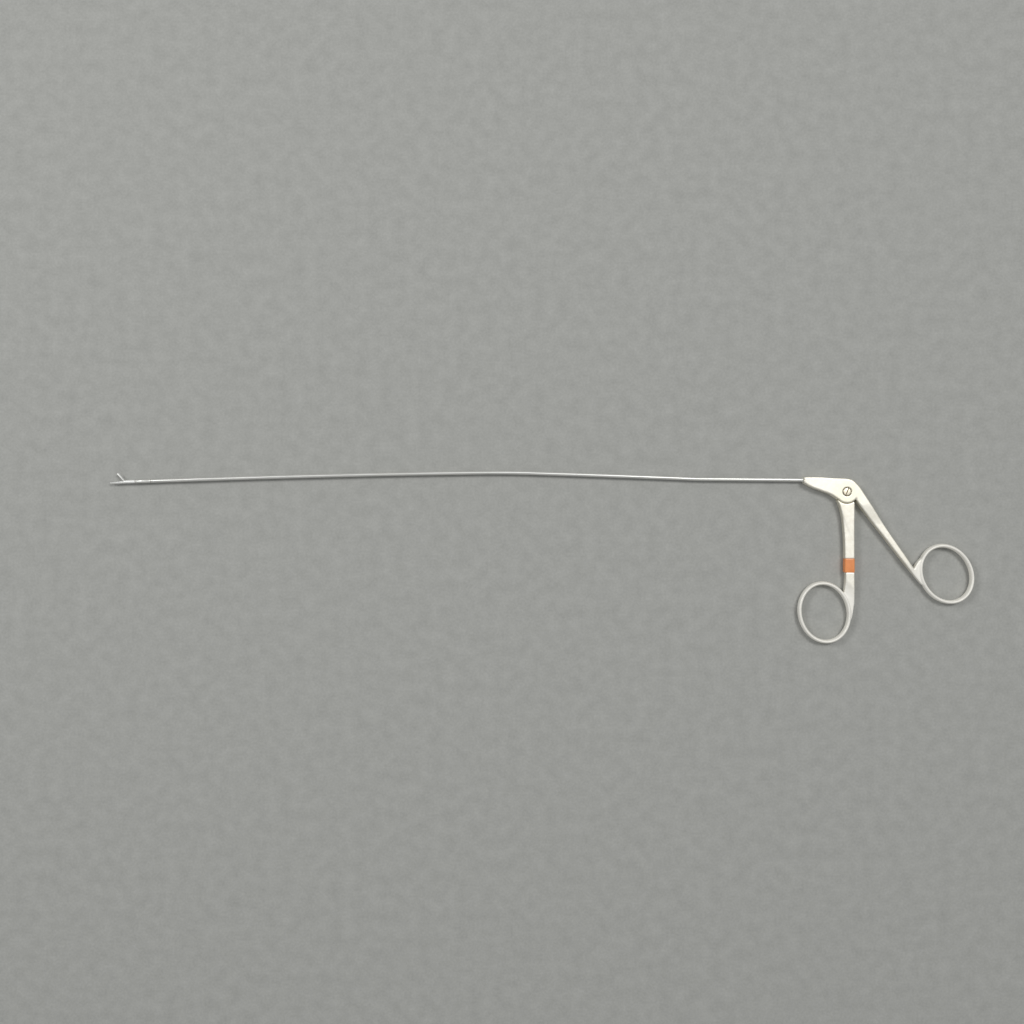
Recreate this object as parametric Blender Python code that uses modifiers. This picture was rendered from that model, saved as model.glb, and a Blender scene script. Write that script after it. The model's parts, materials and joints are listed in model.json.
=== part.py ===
"""Ring-handled grasping forceps with a long thin shaft and alligator jaws, jaws open.

The forceps lie on their side. X runs along the shaft with the jaws at -X, the rings
hang towards -Y, and Z is the thickness, with the underside at z = 0. The origin is
where the lever's pivot axis meets the underside.
"""

import math

import bmesh
import bpy
from mathutils import Vector

MM = 0.001

# Handle
HANDLE_THICKNESS = 5.0 * MM
EDGE_ROUND = 0.45 * MM
BROKEN_EDGE = 0.15 * MM  # on turned pieces
NOSE_REACH = 21.1 * MM  # pivot axis to the front of the nose
NOSE_ABOVE = 1.4 * MM  # nose's top and bottom, from the shaft axis
NOSE_BELOW = 1.5 * MM
ROD_HEIGHT = 5.65 * MM  # shaft axis above the pivot, over the pivot
BOSS_RADIUS = 5.6 * MM
BOSS_END = 322.0  # degrees round the pivot, where the rear arm starts
STOP_RADIUS = 6.0 * MM  # housing's corner beside the lever, from the pivot
STOP_ANGLE = 212.0
SHOULDER_START = 222.0  # where the lever's shoulder starts
SLOT_WIDTH = 2.0 * MM
SLOT_FRONT = 7.5 * MM  # slot's walls, from the pivot axis
SLOT_BACK = 4.8 * MM
ARM_THICKNESS = 4.0 * MM
THIN_START = 6.5 * MM  # the arms taper to that between these depths below the pivot
THIN_END = 15.0 * MM
FOOT_THICKNESS = 2.9 * MM  # of the arms where they run into the rings
FOOT_FADE = 0.35  # how far outside a ring that taper starts, as a share of the ring's size
SHOULDER_GAP = 0.15 * MM  # lever's shoulder to the housing's boss

# Finger rings
RING_LENGTH = 27.0 * MM  # inside, along the longer axis
RING_WIDTH = 22.1 * MM
RING_WIRE = 1.9 * MM
RING_THICKNESS = 4.4 * MM
RING_SINK = 0.14  # share of the wire that an arm's foot stays inside of
REAR_RING = Vector((49.1, -40.25)) * MM
REAR_RING_TILT = 30.6  # degrees from -Y towards +X
FRONT_RING = Vector((-10.65, -59.1)) * MM
FRONT_RING_TILT = 12.4
WEB_START = -150.0  # degrees round the rear ring, where its web to the arm starts
WEB_END = -126.0  # and where the web meets the arm's outer edge
WEB_REACH = 2.45 * MM  # outside the ring
CROTCH = 117.0  # degrees round the front ring, where the lever's front edge meets it
FOOT = 64.0  # and where its rear edge does

# Front lever
LEVER_EDGE = 3.8 * MM  # its straight rear edge, from the pivot axis
LEVER_CORNER = 0.5 * MM  # cut off its shoulder beside the rear arm
LEVER_ROUND = 0.3 * MM
LEVER_NECK = 4.4 * MM  # thickness beside the housing
TONGUE_THICKNESS = 1.8 * MM
TONGUE_RADIUS = 4.2 * MM
TONGUE_LEAN = 20.0  # degrees
FORK_WIDTH = 3.5 * MM
FORK_REACH = 0.35 * MM  # fork's ends above the shaft axis
BAND_TOP = 32.7 * MM  # below the pivot axis
BAND_LENGTH = 6.8 * MM
BAND_WALL = 0.4 * MM
BAND_RECESS = 0.35 * MM  # depth of the groove that holds the band
BAND_BAR = 4.0 * MM  # lever's width in that groove
BAND_ROUND = 0.5 * MM  # band's corners

# Pivot screw
SCREW_SHANK = 2.4 * MM
SCREW_HEAD = 3.9 * MM
SCREW_HEAD_DEPTH = 1.0 * MM
SCREW_SLOT = 0.5 * MM
HEAD_GAP = 0.2 * MM

# Shaft
WORKING_LENGTH = 340.0 * MM  # front of the nose to the tip of the fixed jaw
TUBE_DIAMETER = 1.67 * MM
TUBE_BORE = 1.17 * MM
TUBE_SEAT = 9.0 * MM  # depth of the tube in the nose
ROD_DIAMETER = 0.76 * MM
NOSE_SLOPE = 0.5  # degrees, rising towards the jaws
# Gentle bends of the shaft: distance from the nose, length, turn in degrees.
BENDS = ((49.0 * MM, 6.0 * MM, 1.74), (60.0 * MM, 60.0 * MM, -0.35),
         (128.0 * MM, 34.0 * MM, -2.73), (166.0 * MM, 120.0 * MM, -1.05))
FERRULE_WALL = 0.185 * MM
FERRULE_LENGTH = 2.0 * MM
TRUNNION_DIAMETER = 1.7 * MM
STIFFENER_DIAMETER = 1.25 * MM
STIFFENER_LENGTH = 7.2 * MM
STIFFENER_GAP = 1.3 * MM  # to the tube's end, more than the rod's stroke

# Jaws
JAW_REACH = 6.5 * MM  # pivot to the tip of the fixed jaw
MOVING_JAW_REACH = 5.45 * MM
JAW_ROUND = 0.7 * MM  # length of a jaw's rounded tip
HOUSING_REACH = 6.0 * MM  # pivot to the joint with the sleeve
DISTAL_DIAMETER = 1.6 * MM
SLEEVE_LENGTH = 7.6 * MM
SOCKET_DEPTH = 2.4 * MM
SOCKET_DIAMETER = 1.5 * MM
JAW_OPENING = 54.0  # degrees
JAW_PIVOT_DROP = 0.45 * MM  # pivot below the shaft axis
JAW_SHOULDER = 0.42 * MM  # pivot to the housing's full round part
JAW_HUB = 0.28 * MM
JAW_HEEL = 0.35 * MM  # pivot to the back of the moving jaw's half-round
JAW_CROWN = 1.1 * MM  # and to where its back reaches full height
JAW_ROOT = 1.5 * MM  # and to where its inner plate ends
JAW_POCKET = 1.0 * MM  # reach of the pocket in it beside the blade
JAW_CRANK = 0.85 * MM
JAW_PIN = 0.3 * MM
LINK_PIN = 0.26 * MM
LINK_EYE = 0.26 * MM  # radius of the jaw's eye round the link pin
JAW_SLOT = 0.66 * MM
JAW_TONGUE = 0.28 * MM
BLADE_THICKNESS = 0.26 * MM
BLADE_TAIL = 0.4 * MM
BLADE_HEAD = 0.56 * MM
BLADE_LENGTH = 2.2 * MM  # link pin to the blade's socket
BLADE_SOCKET = 1.0 * MM
BLADE_SOCKET_LENGTH = 2.0 * MM
BLADE_ROOT = 0.3 * MM  # of the blade, inside the socket's solid end
TOOTH_PITCH = 0.5 * MM
TOOTH_DEPTH = 0.12 * MM
TOOTH_START = 1.2 * MM  # pivot to the first tooth
BITE_GAP = 0.08 * MM
BITE_ROOT = 0.28 * MM  # closed bite line above the shaft axis at the first tooth
BITE_TIP = 0.05 * MM  # and below it at the tips

# Fits, as the gap on each side
RUNNING_GAP = 0.05 * MM
FINE_GAP = 0.02 * MM
FIXED_GAP = 0.03 * MM

MIDDLE = HANDLE_THICKNESS / 2


def fresh_scene():
    for obj in list(bpy.data.objects):
        bpy.data.objects.remove(obj)
    groups = {}
    for name in ("grasping forceps", "cutters"):
        groups[name] = bpy.data.collections.new(name)
        bpy.context.scene.collection.children.link(groups[name])
    groups["cutters"].hide_render = True
    return groups["grasping forceps"], groups["cutters"]


PARTS, CUTTERS = fresh_scene()


def material(name, colour, metallic, roughness):
    made = bpy.data.materials.new(name)
    made.use_nodes = True
    shader = made.node_tree.nodes["Principled BSDF"]
    shader.inputs["Base Color"].default_value = (*colour, 1.0)
    shader.inputs["Metallic"].default_value = metallic
    shader.inputs["Roughness"].default_value = roughness
    return made


def helper(obj):
    """Marks an object as one that only cuts or joins."""
    obj.hide_render = True
    obj.display_type = "WIRE"
    for group in obj.users_collection:
        group.objects.unlink(obj)
    CUTTERS.objects.link(obj)
    return obj


def add(name, mesh, parent=None, location=(0, 0, 0), rotation=(0, 0, 0)):
    obj = bpy.data.objects.new(name, mesh)
    PARTS.objects.link(obj)
    obj.parent = parent
    obj.location = location
    obj.rotation_euler = rotation
    return obj


def finish(obj, look):
    obj.data.materials.clear()
    obj.data.materials.append(look)
    obj.data.shade_smooth()
    obj.data.set_sharp_from_angle(angle=math.radians(32))
    return obj


def boolean(obj, other, operation):
    modifier = obj.modifiers.new(operation.lower(), "BOOLEAN")
    modifier.operation = operation
    modifier.object = helper(other)
    return obj


def cut(obj, *others):
    for other in others:
        boolean(obj, other, "DIFFERENCE")


def join(obj, *others):
    for other in others:
        boolean(obj, other, "UNION")


def box(name, low, high, parent=None, bevel=0.0):
    mesh = bpy.data.meshes.new(name)
    shape = bmesh.new()
    bmesh.ops.create_cube(shape, size=1.0)
    low, high = Vector(low), Vector(high)
    for vertex in shape.verts:
        vertex.co = [middle + side * length for middle, side, length
                     in zip((low + high) / 2, vertex.co, high - low)]
    if bevel:
        bmesh.ops.bevel(shape, geom=shape.edges[:], offset=bevel, segments=2,
                        profile=0.5, affect="EDGES")
    shape.to_mesh(mesh)
    shape.free()
    return add(name, mesh, parent)


def pin(name, radius, low, high, parent=None, place=(0, 0), sides=16):
    """A round pin along Z."""
    mesh = bpy.data.meshes.new(name)
    shape = bmesh.new()
    bmesh.ops.create_cone(shape, cap_ends=True, segments=sides, radius1=radius,
                          radius2=radius, depth=high - low)
    shape.to_mesh(mesh)
    shape.free()
    return add(name, mesh, parent, (*place, (low + high) / 2))


def turned(name, profile, parent=None, location=(0, 0, 0), rotation=(0, 0, 0), sides=16):
    """A round piece from (radius, height) points that run down its outer side."""
    mesh = bpy.data.meshes.new(name)
    edges = [(i, i + 1) for i in range(len(profile) - 1)]
    if profile[0][0] > 0:
        edges.append((len(profile) - 1, 0))
    mesh.from_pydata([(radius, 0, height) for radius, height in profile], edges, [])
    obj = add(name, mesh, parent, location, rotation)
    screw = obj.modifiers.new("turn", "SCREW")
    screw.steps = screw.render_steps = sides
    screw.use_merge_vertices = True
    screw.merge_threshold = 1e-6
    return obj


def from_curve(curve):
    """The mesh object that a curve makes, with its caps welded."""
    PARTS.objects.link(curve)
    graph = bpy.context.evaluated_depsgraph_get()
    mesh = bpy.data.meshes.new_from_object(curve.evaluated_get(graph))
    shape = bmesh.new()
    shape.from_mesh(mesh)
    bmesh.ops.remove_doubles(shape, verts=shape.verts, dist=5e-6)
    bmesh.ops.recalc_face_normals(shape, faces=shape.faces)
    shape.to_mesh(mesh)
    shape.free()
    name = curve.name
    bpy.data.objects.remove(curve)
    return name, mesh


def plate(name, outline, thickness, edge=0.0, holes=(), parent=None, middle=MIDDLE, steps=2):
    """A flat piece with rounded edges, from its outline in the XY plane."""
    data = bpy.data.curves.new(name, "CURVE")
    data.dimensions = "2D"
    data.fill_mode = "BOTH"
    data.extrude = thickness / 2 - edge
    data.bevel_depth = edge
    data.bevel_resolution = steps - 1
    data.offset = -edge
    for points in (outline, *holes):
        spline = data.splines.new("POLY")
        spline.points.add(len(points) - 1)
        for target, (x, y) in zip(spline.points, points):
            target.co = (x, y, 0, 1)
        spline.use_cyclic_u = True
    name, mesh = from_curve(bpy.data.objects.new(name, data))
    return add(name, mesh, parent, (0, 0, middle))


def wire(name, points, radius, parent=None, caps=True, sides=12, closed=False):
    """A round bar along a row of points."""
    data = bpy.data.curves.new(name, "CURVE")
    data.dimensions = "3D"
    data.twist_mode = "Z_UP"
    data.bevel_depth = radius
    data.bevel_resolution = sides // 2 - 2
    data.use_fill_caps = caps
    spline = data.splines.new("POLY")
    spline.points.add(len(points) - 1)
    for target, point in zip(spline.points, points):
        target.co = (*point, 1)
    spline.use_cyclic_u = closed
    name, mesh = from_curve(bpy.data.objects.new(name, data))
    return add(name, mesh, parent)


def arc(centre, radius, start, end, count):
    """Points on an arc, with its angles in degrees from +X."""
    angles = [math.radians(start + (end - start) * i / count) for i in range(count + 1)]
    return [Vector((centre[0] + radius * math.cos(a), centre[1] + radius * math.sin(a)))
            for a in angles]


def smooth(points, steps=4):
    """A smooth run through the points, ends included."""
    points = [Vector(point) for point in points]
    padded = [2 * points[0] - points[1], *points, 2 * points[-1] - points[-2]]
    run = []
    for before, start, end, after in zip(padded, padded[1:], padded[2:], padded[3:]):
        for i in range(steps):
            t = i / steps
            run.append(0.5 * (2 * start + (end - before) * t
                              + (2 * before - 5 * start + 4 * end - after) * t ** 2
                              + (3 * start - before - 3 * end + after) * t ** 3))
    return [*run, points[-1]]


def around(*places):
    """Points round the pivot axis, from angles in degrees and shares of the boss's radius."""
    return [arc((0, 0), share * BOSS_RADIUS, angle, angle, 1)[0] for angle, share in places]


def beside(start, end, *places):
    """Points beside a straight line, from shares of its length along it and to its left."""
    way = end - start
    left = Vector((-way.y, way.x))
    return [start + way * ahead + left * aside for ahead, aside in places]


class Ring:
    """An oval finger ring. Its angle is 0 at its lower end and 90 on its +X side."""

    def __init__(self, centre, tilt):
        self.centre = centre
        turn = math.radians(tilt)
        self.long_axis = Vector((math.sin(turn), -math.cos(turn)))
        self.short_axis = Vector((math.cos(turn), math.sin(turn)))

    def point(self, angle, outwards):
        """The point at an angle, so far out from the ring's inner edge."""
        turn = math.radians(angle)
        return (self.centre
                + self.long_axis * (RING_LENGTH / 2 + outwards) * math.cos(turn)
                + self.short_axis * (RING_WIDTH / 2 + outwards) * math.sin(turn))

    def flat(self, place):
        """A place in the ring's own frame, in which its outside is a circle of radius 1."""
        offset = place - self.centre
        return Vector((offset.dot(self.long_axis) / (RING_LENGTH / 2 + RING_WIRE),
                       offset.dot(self.short_axis) / (RING_WIDTH / 2 + RING_WIRE)))

    def tangent(self, place, side):
        """The angle at which a line from a place touches the ring's outside."""
        flat = self.flat(place)
        towards = math.degrees(math.atan2(flat.y, flat.x))
        return towards + side * math.degrees(math.acos(1 / flat.length))

    def run(self, start, end, outwards, count):
        return [self.point(start + (end - start) * i / count, outwards)
                for i in range(count + 1)]

    def solid(self, name, parent=None):
        """The ring as a bar of oval section."""
        path = [(*place, 0) for place in self.run(0, 360, RING_WIRE / 2, 56)[:-1]]
        ring = wire(name, path, RING_WIRE / 2, parent, caps=False, sides=16, closed=True)
        for vertex in ring.data.vertices:
            vertex.co.z *= RING_THICKNESS / RING_WIRE
        ring.location.z = MIDDLE
        return ring


def thinned(obj, ring):
    """Tapers a plate from the housing's thickness to its arm's, and again towards its ring."""
    full = max(vertex.co.z for vertex in obj.data.vertices)
    for vertex in obj.data.vertices:
        place = vertex.co.xy
        down = min(max((-place.y - THIN_START) / (THIN_END - THIN_START), 0.0), 1.0)
        near = min(max((1 + FOOT_FADE - ring.flat(place).length) / FOOT_FADE, 0.0), 1.0)
        half = full + down * (ARM_THICKNESS / 2 - full)
        half += near * (FOOT_THICKNESS / 2 - half)
        vertex.co.z *= half / full


def shaft(distance):
    """The shaft's axis at a distance from the nose: its place and its slope."""
    heading = math.radians(NOSE_SLOPE)
    rise = NOSE_REACH * math.tan(heading)
    place = Vector((-NOSE_REACH, ROD_HEIGHT + rise))
    at = min(distance, 0.0)
    place += Vector((-math.cos(heading), math.sin(heading))) * at
    steps = [(start, length, math.radians(turn)) for start, length, turn in BENDS]
    for start, length, turn in [*steps, (math.inf, 0.0, 0.0)]:
        straight = max(min(distance, start) - max(at, 0.0), 0.0)
        place += Vector((-math.cos(heading), math.sin(heading))) * straight
        if distance <= start:
            break
        bent = min(distance - start, length)
        turned_by = turn * bent / length
        middle = heading + turned_by / 2
        chord = bent * math.sin(turned_by / 2) / (turned_by / 2)
        place += Vector((-math.cos(middle), math.sin(middle))) * chord
        heading += turned_by
        at = start + bent
    return place, heading


def shaft_run(start, end):
    """Points along the shaft's axis, closer together in the bends."""
    stops = {start, end}
    for begin, length, turn in BENDS:
        count = 2 + round(2 * abs(turn))
        stops |= {begin + length * i / count for i in range(count + 1)}
    return [(*shaft(stop)[0], MIDDLE) for stop in sorted(stops) if start <= stop <= end]


REAR = Ring(REAR_RING, REAR_RING_TILT)
FRONT = Ring(FRONT_RING, FRONT_RING_TILT)

STEEL = material("satin steel", (0.86, 0.84, 0.76), 1.0, 0.38)
BRIGHT_STEEL = material("polished steel", (0.82, 0.82, 0.78), 1.0, 0.22)
SCREW_STEEL = material("screw steel", (0.80, 0.75, 0.62), 1.0, 0.32)
ORANGE = material("orange band", (0.90, 0.30, 0.09), 0.0, 0.45)

STATION = WORKING_LENGTH - JAW_REACH  # jaw pivot, along the shaft
TIP_PLACE, TIP_SLOPE = shaft(STATION)
tip = bpy.data.objects.new("tip frame", None)
PARTS.objects.link(tip)
tip.location = (*TIP_PLACE, MIDDLE)
tip.rotation_euler = (0, 0, -TIP_SLOPE)

nose = bpy.data.objects.new("nose frame", None)
PARTS.objects.link(nose)
nose.location = (*shaft(0.0)[0], MIDDLE)
nose.rotation_euler = (0, 0, -math.radians(NOSE_SLOPE))

lever_axis = bpy.data.objects.new("lever axis", None)
PARTS.objects.link(lever_axis)

jaw_axis = bpy.data.objects.new("jaw axis", None)
PARTS.objects.link(jaw_axis)
jaw_axis.parent = tip
jaw_axis.location = (0, -JAW_PIVOT_DROP, 0)
jaw_axis.rotation_euler = (0, 0, -math.radians(JAW_OPENING))

ALONG = (0, math.pi / 2, 0)  # turns a turned piece's height to the shaft's length

NOSE_PLACE = Vector(nose.location[:2])
JAW_SWING = math.radians(JAW_OPENING)
CRANK_SIDE = JAW_CRANK * math.sin(JAW_SWING / 2)  # link pin beside the pivot, at either end
CRANK_RISE = JAW_CRANK * math.cos(JAW_SWING / 2)
PIN_HEIGHT = CRANK_RISE - JAW_PIVOT_DROP  # link pin above the shaft axis, at either end
PIN_TOP = JAW_CRANK - JAW_PIVOT_DROP  # and halfway
FAR = 4 * HANDLE_THICKNESS  # reach of a cutter that goes right through
FERRULE_RADIUS = TUBE_DIAMETER / 2 + FIXED_GAP + FERRULE_WALL


def along(radius, start, end):
    """The profile of a plain round piece from one height down to another."""
    return [(0, start), (radius, start), (radius, end), (0, end)]


def pivot_holes():
    """Cutters for the pivot screw's hole and its head's recess."""
    head_seat = HANDLE_THICKNESS - SCREW_HEAD_DEPTH - FIXED_GAP
    return (pin("screw hole", SCREW_SHANK / 2 + RUNNING_GAP, -FAR, FAR, sides=32),
            pin("head recess", SCREW_HEAD / 2 + HEAD_GAP, head_seat, FAR, sides=32))


def handle_body():
    """Housing, rear arm and rear ring: one forging."""
    corner = arc((0, 0), STOP_RADIUS, STOP_ANGLE, STOP_ANGLE, 1)[0]
    low = Vector((-NOSE_REACH, NOSE_PLACE.y - NOSE_BELOW))
    high = Vector((-NOSE_REACH, NOSE_PLACE.y + NOSE_ABOVE))
    belly = smooth([low, *beside(low, corner, (0.22, -0.02), (0.53, 0.003), (0.81, 0.024)), corner])
    boss = arc((0, 0), BOSS_RADIUS, SHOULDER_START, BOSS_END, 12)
    touch = REAR.tangent(boss[-1], 1)
    sunk, deep = RING_SINK * RING_WIRE, (1 - RING_SINK) * RING_WIRE
    foot = REAR.point(touch, deep)
    inner = smooth([boss[-1], *beside(boss[-1], foot, (0.03, -0.008), (0.22, -0.012),
                                      (0.42, -0.0105), (0.7, -0.011)), foot])
    seat = REAR.run(touch, WEB_START, sunk, 6)
    root = REAR.point(WEB_START, deep)
    crotch = REAR.point(WEB_END, RING_WIRE + WEB_REACH)
    web = smooth([root, *beside(root, crotch, (0.33, -0.055), (0.62, -0.05), (0.85, -0.02)), crotch])
    elbow, *crown = around((7.5, 1.297), (27.0, 1.142), (46.7, 1.104), (63.6, 1.126),
                           (78.2, 1.14), (103.6, 1.216))
    outer = smooth([crotch, *beside(crotch, elbow, (0.055, 0.003), (0.2, 0.004), (0.37, 0.0075),
                                    (0.58, 0.008), (0.77, 0.003)), elbow, *crown,
                    *beside(crown[-1], high, (0.25, 0.001), (0.53, -0.012), (0.83, -0.008)), high])
    body = plate("handle_body", [*belly, *boss, *inner[1:-1], *seat, *web[:-1], *outer],
                 HANDLE_THICKNESS, EDGE_ROUND)
    thinned(body, REAR)
    join(body, REAR.solid("rear ring"))
    cut(body, box("handle slot", (-SLOT_FRONT, -FAR, MIDDLE - SLOT_WIDTH / 2),
                  (SLOT_BACK, FAR, MIDDLE + SLOT_WIDTH / 2)), *pivot_holes())
    bore = [(0.0, NOSE_REACH - SLOT_FRONT + RUNNING_GAP)]
    for radius, end in ((STIFFENER_DIAMETER / 2 + RUNNING_GAP, TUBE_SEAT + RUNNING_GAP),
                        (TUBE_DIAMETER / 2, FERRULE_LENGTH + RUNNING_GAP),
                        (FERRULE_RADIUS, -FAR)):
        bore += [(radius + FIXED_GAP, bore[-1][1]), (radius + FIXED_GAP, end)]
    cut(body, turned("shaft bore", [*bore, (0.0, -FAR)], nose, (0, 0, 0), ALONG))
    return finish(body, STEEL)


def ferrule():
    """The collar round the tube, flush in the front of the nose."""
    outer, inner = FERRULE_RADIUS, TUBE_DIAMETER / 2 + FIXED_GAP
    front = 0.4 * FERRULE_LENGTH
    finish(turned("nose_ferrule", [(outer, FERRULE_LENGTH), (outer, 0), (outer - BROKEN_EDGE, -front),
                                   (inner, -front), (inner, FERRULE_LENGTH)],
                  nose, (0, 0, 0), ALONG), BRIGHT_STEEL)


def pivot_screw():
    """The slotted screw that the lever turns on, flush with both faces."""
    head, shank = SCREW_HEAD / 2, SCREW_SHANK / 2
    under = HANDLE_THICKNESS - SCREW_HEAD_DEPTH
    screw = turned("pivot_screw", [
        (0, HANDLE_THICKNESS), (head - BROKEN_EDGE, HANDLE_THICKNESS),
        (head, HANDLE_THICKNESS - BROKEN_EDGE), (head, under), (shank, under), (shank, 0), (0, 0)],
        sides=32)
    slot = box("driver slot", (-SCREW_SLOT / 2, -FAR, under + SCREW_HEAD_DEPTH / 2),
               (SCREW_SLOT / 2, FAR, FAR))
    slot.rotation_euler.z = math.radians(-22)
    cut(screw, slot)
    finish(screw, SCREW_STEEL)


def front_lever():
    """Front ring, its arm, and the tongue whose fork drives the rod."""
    top = ROD_HEIGHT + FORK_REACH
    half = FORK_WIDTH / 2
    shoulder_radius = BOSS_RADIUS + SHOULDER_GAP
    end = 360 - math.degrees(math.acos((LEVER_EDGE - LEVER_CORNER) / shoulder_radius))
    shoulder = arc((0, 0), shoulder_radius, SHOULDER_START, end, 10)
    straight = Vector((LEVER_EDGE, FRONT_RING.y + RING_LENGTH / 4))
    sunk, deep = RING_SINK * RING_WIRE, (1 - RING_SINK) * RING_WIRE
    foot = FRONT.point(FOOT, deep)
    rear = [Vector((LEVER_EDGE, shoulder[-1].y - LEVER_CORNER)), *smooth(
        [Vector((LEVER_EDGE, straight.y / 2)), straight,
         *beside(straight, foot, (0.31, 0.029), (0.58, 0.042), (0.85, 0.042)), foot])]
    crotch = FRONT.point(CROTCH, deep)
    seat = FRONT.run(FOOT, CROTCH, sunk, 6)
    front = smooth([crotch, *beside(crotch, shoulder[0], (0.164, -0.023), (0.377, -0.03),
                                    (0.567, -0.039), (0.759, -0.038), (0.823, -0.033),
                                    (0.91, -0.019), (0.953, -0.007), (0.989, 0.008))])
    lever = plate("front_lever", [*shoulder, *rear, *seat, *front], LEVER_NECK, LEVER_ROUND,
                  parent=lever_axis)
    thinned(lever, FRONT)
    lean = math.degrees(math.acos(half / TONGUE_RADIUS))
    tongue = plate("tongue", [
        *arc((0, 0), TONGUE_RADIUS, -TONGUE_LEAN, lean, 6), Vector((half, top)),
        Vector((-half, top)), *arc((0, 0), TONGUE_RADIUS, 180 - lean, 180 + TONGUE_LEAN, 6),
        Vector((-half, -shoulder_radius - TONGUE_RADIUS)),
        Vector((half, -shoulder_radius - TONGUE_RADIUS))], TONGUE_THICKNESS, parent=lever_axis)
    join(lever, tongue, FRONT.solid("front ring", lever_axis))
    fork = TRUNNION_DIAMETER / 2 + RUNNING_GAP
    groove = ROD_DIAMETER / 2 + 2 * RUNNING_GAP
    cut(lever, pin("pivot hole", SCREW_SHANK / 2 + RUNNING_GAP, -FAR, FAR, sides=32),
        box("fork mouth", (-fork, ROD_HEIGHT - fork - 2 * RUNNING_GAP, -FAR), (fork, FAR, FAR)),
        box("rod groove", (-FORK_WIDTH, ROD_HEIGHT - groove - 2 * RUNNING_GAP, MIDDLE - groove),
            (0, FAR, MIDDLE + groove)))
    cut(lever, band_frame("band groove", FAR, 0, BAND_LENGTH + 2 * FIXED_GAP))
    finish(lever, STEEL)


def band_frame(name, wall, gap, length):
    """A frame round the lever's bar under the band, with its wall and its gap to the bar."""
    thick = ARM_THICKNESS - 2 * BAND_RECESS
    frames = []
    for grow, edge in ((wall + gap, BAND_ROUND), (gap, BAND_ROUND / 2)):
        across, up = BAND_BAR / 2 + grow, thick / 2 + grow
        corners = ((1, 1, 0), (-1, 1, 90), (-1, -1, 180), (1, -1, 270))
        frames.append([place for x, y, start in corners for place in arc(
            (x * (across - edge), y * (up - edge)), edge, start, start + 90, 3)])
    frame = plate(name, frames[0], length, holes=frames[1:], parent=lever_axis)
    frame.rotation_euler.x = math.pi / 2
    frame.location = (LEVER_EDGE - BAND_RECESS - BAND_BAR / 2, -BAND_TOP - BAND_LENGTH / 2, MIDDLE)
    return frame


def shaft_tube():
    """The long tube, with its end turned down for the sleeve."""
    joint = STATION - HOUSING_REACH - SLEEVE_LENGTH
    tube = wire("shaft_tube", shaft_run(-TUBE_SEAT, joint + SOCKET_DEPTH), TUBE_DIAMETER / 2,
                caps=False, sides=16)
    shell = tube.modifiers.new("wall", "SOLIDIFY")
    shell.thickness = (TUBE_DIAMETER - TUBE_BORE) / 2
    shell.offset = -1
    spigot = SOCKET_DIAMETER / 2 - FIXED_GAP
    end = HOUSING_REACH + SLEEVE_LENGTH
    cut(tube, turned("tube spigot", [(TUBE_DIAMETER, end), (TUBE_DIAMETER, end - 2 * SOCKET_DEPTH),
                                     (spigot, end - 2 * SOCKET_DEPTH), (spigot, end)],
                     tip, (0, 0, 0), ALONG))
    finish(tube, BRIGHT_STEEL)


def coupling_sleeve():
    """The short sleeve between the tube and the jaws' housing, with a socket at each end."""
    outer, socket, bore = TUBE_DIAMETER / 2, SOCKET_DIAMETER / 2, TUBE_BORE / 2
    low, high = HOUSING_REACH + FIXED_GAP, HOUSING_REACH + SLEEVE_LENGTH - FIXED_GAP
    deep = SOCKET_DEPTH + FIXED_GAP
    finish(turned("coupling_sleeve", [(outer, high), (outer, low), (socket, low),
                                      (socket, low + deep), (bore, low + deep),
                                      (bore, high - deep), (socket, high - deep),
                                      (socket, high)], tip, (0, 0, 0), ALONG), BRIGHT_STEEL)


def rounded_tip(radius, reach):
    """Profile points of a jaw's rounded tip, ending on the axis."""
    steps = 4
    turns = [math.pi / 2 * i / steps for i in range(steps + 1)]
    bend = [(radius * math.cos(a), -reach + JAW_ROUND * (1 - math.sin(a))) for a in turns[:-1]]
    return [*bend, (0, -reach)]


def teeth(base, tips, depth):
    """A saw-toothed edge from the first tooth to a jaw's tip, on the sloping bite line."""
    start = Vector((-TOOTH_START, base + BITE_ROOT))
    end = Vector((-tips, base - BITE_TIP))
    count = round((end - start).length / TOOTH_PITCH)
    edge = [start + (end - start) * i / (2 * count) for i in range(2 * count + 1)]
    for peak in edge[1::2]:
        peak.y += depth
    return edge


def jaw_side(name, outline, parent):
    return plate(name, outline, 2 * DISTAL_DIAMETER, parent=parent, middle=0)


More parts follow.
